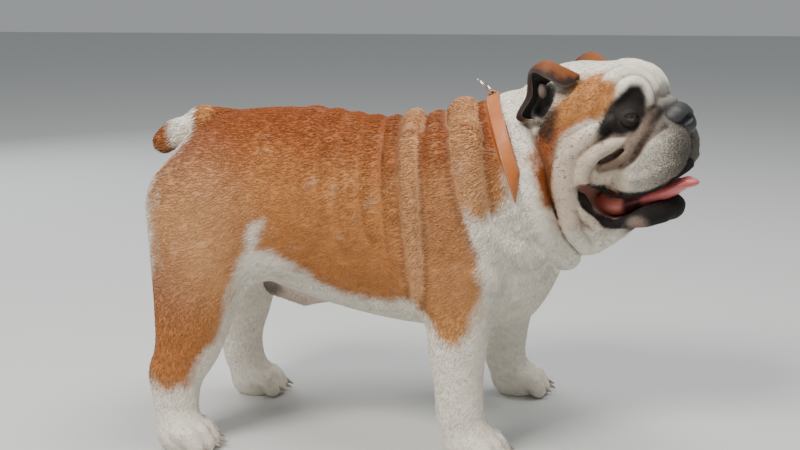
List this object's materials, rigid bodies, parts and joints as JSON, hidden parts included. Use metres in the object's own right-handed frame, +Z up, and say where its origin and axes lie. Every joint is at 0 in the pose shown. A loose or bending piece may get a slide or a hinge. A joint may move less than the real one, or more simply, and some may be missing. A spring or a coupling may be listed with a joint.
{
  "type": "english bulldog",
  "caption": "Life-size standing English bulldog, orange and white, with a wrinkled face, open mouth, rose ears, short screw tail and a leather collar with a ring.",
  "frame": {"origin": "middle of the bounding box at the level of the soles", "axes": "+X towards the head, +Y towards the dog's left side, +Z up"},
  "size_m": [0.6352, 0.3246, 0.4485],
  "materials": {
    "coat": "short smooth orange and white coat",
    "coat_face": "short smooth cream, grey and orange coat",
    "coat_white": "short smooth white coat",
    "ear": "thin ear leaf, orange outside and black inside",
    "nose_leather": "moist dark nose leather",
    "tongue": "moist pink",
    "eye": "glossy dark brown",
    "collar_leather": "orange tan leather, stitched edges",
    "ring_metal": "plain steel wire"
  },
  "bodies": {
    "root": {"head": "coat_face", "neck": "coat_white", "chest": "coat", "loin": "coat", "tail": "coat", "foreleg_left": "coat_white", "foreleg_right": "coat_white", "forepaw_left": "coat_white", "forepaw_right": "coat_white", "hindleg_left": "coat_white", "hindleg_right": "coat", "hindpaw_left": "coat_white", "hindpaw_right": "coat_white", "ear_left": "ear", "ear_right": "ear", "eye_left": "eye", "eye_right": "eye", "nose": "nose_leather", "tongue": "tongue", "collar": "collar_leather", "collar_ring": "ring_metal"}
  },
  "joints": []
}
